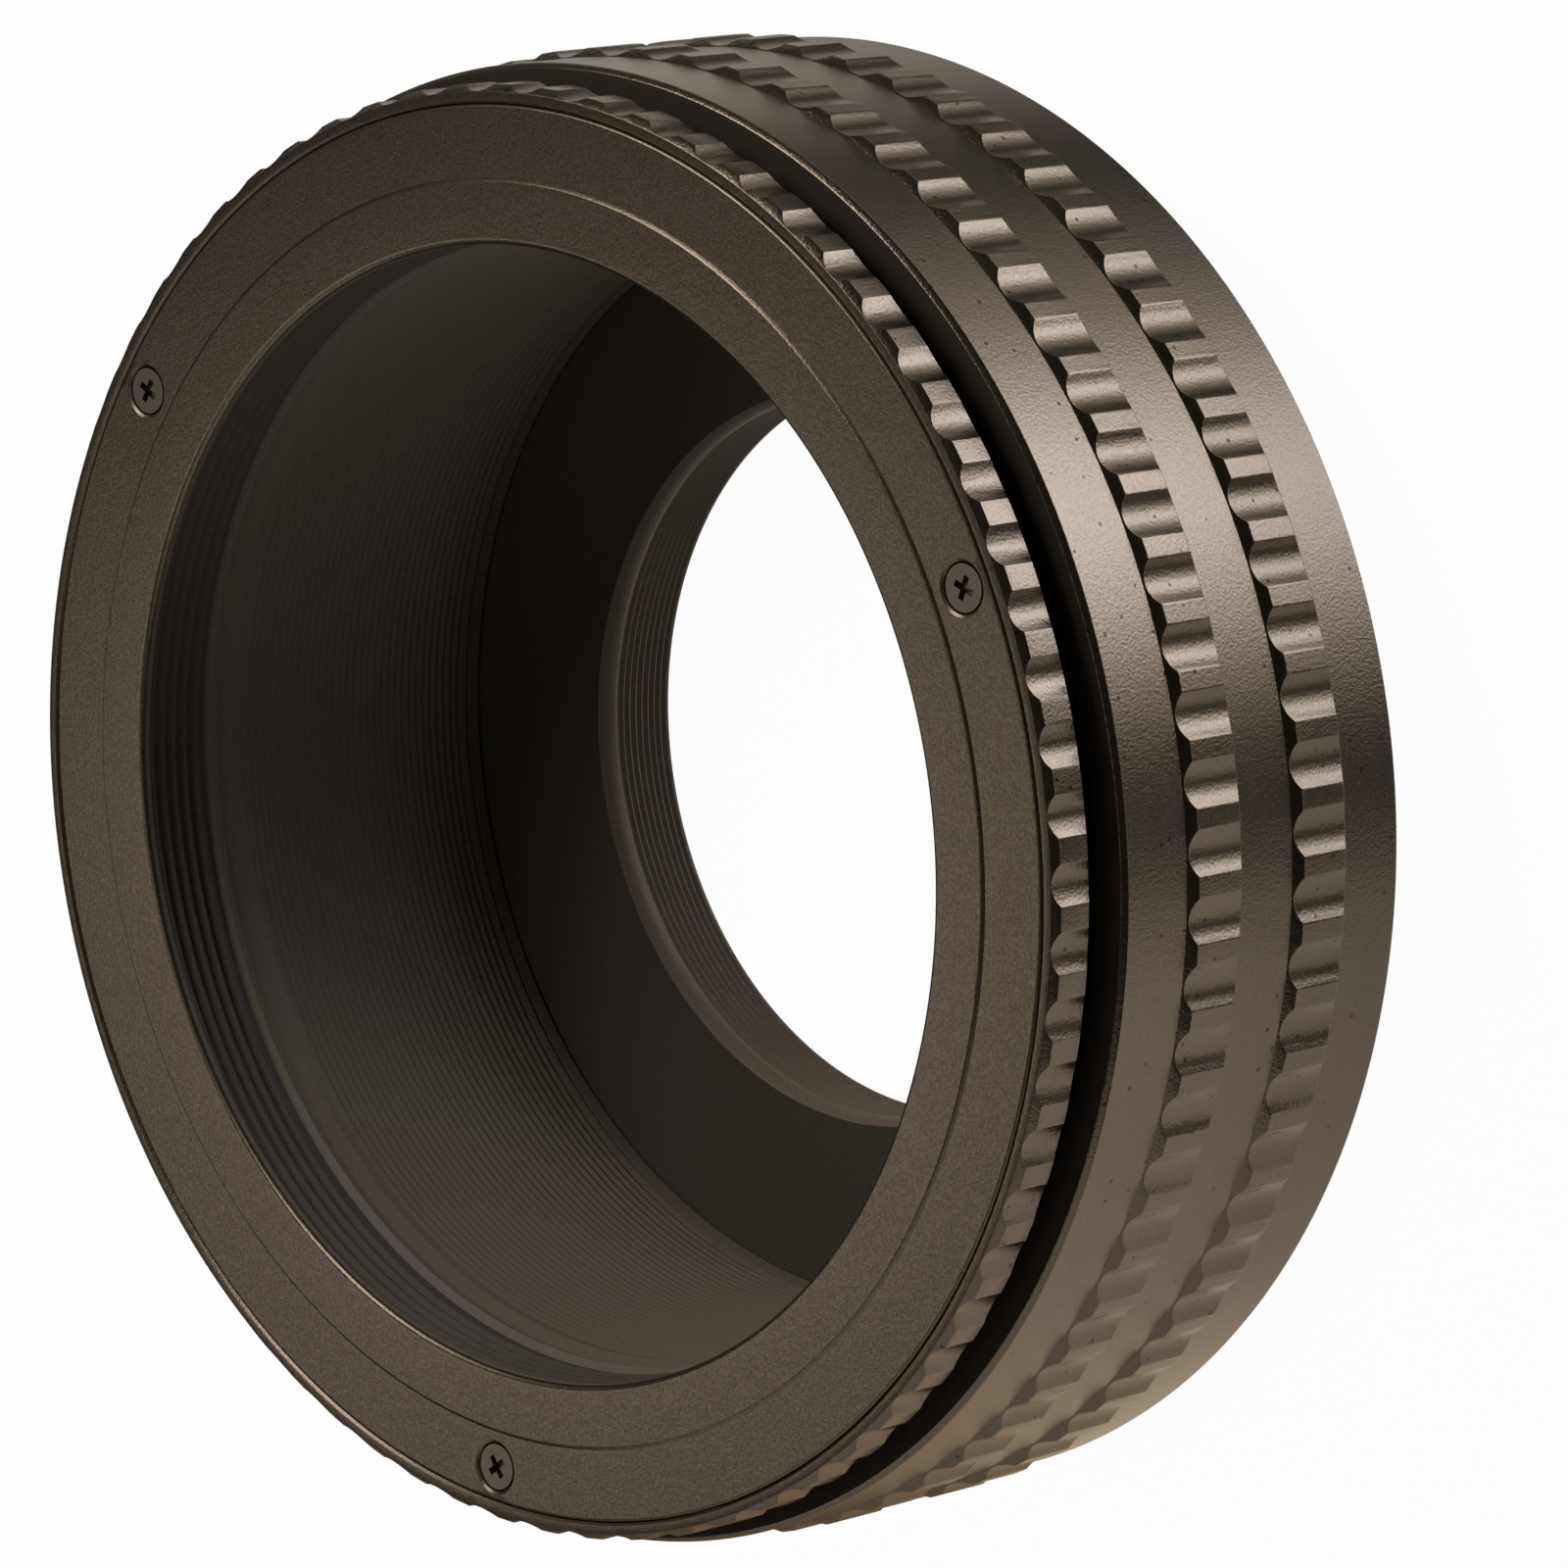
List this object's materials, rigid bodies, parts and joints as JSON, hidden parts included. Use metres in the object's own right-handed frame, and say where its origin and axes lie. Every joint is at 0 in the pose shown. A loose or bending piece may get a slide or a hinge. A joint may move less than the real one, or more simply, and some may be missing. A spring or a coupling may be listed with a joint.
{
  "type": "focusing lens mount adapter",
  "caption": "Short black focusing helicoid: a wide threaded lens seat in front, a small threaded collar behind, and a fluted grip ring that drives a keyed barrel in and out.",
  "frame": {"origin": "middle of the collar's foot, on the optical axis", "axes": "+Z along the optical axis from the small rear collar to the wide front thread; +X through the first front screw"},
  "size_m": [0.0754, 0.0754, 0.0291],
  "materials": {
    "body_black": "fine bead-blasted black anodised, slightly warm",
    "plate_black": "matte black anodised",
    "screw_black": "black oxide",
    "key_brass": "machined"
  },
  "bodies": {
    "base": {"far_mount_plate": "plate_black", "far_mount_screws": "screw_black", "guide_tube": "body_black"},
    "ring": {"focusing_ring": "body_black", "retaining_ring": "body_black"},
    "barrel": {"helicoid_barrel": "body_black", "front_mount_tube": "plate_black", "front_mount_screws": "screw_black", "guide_key_1": "key_brass", "guide_key_2": "key_brass", "guide_key_3": "key_brass", "guide_key_screws": "screw_black"}
  },
  "joints": [
    {"name": "focus_turn", "type": "hinge", "parent": "base", "child": "ring", "pos_m": [0, 0, 0.0154], "axis": [0, 0, 1], "range_deg": [0, 270]},
    {"name": "barrel_slide", "type": "slide", "parent": "base", "child": "barrel", "axis": [0, 0, 1], "range_m": [0, 0.01125]}
  ],
  "couplings": [
    {"joint": "barrel_slide", "follows": "focus_turn", "m_per_rad": 0.002387}
  ]
}
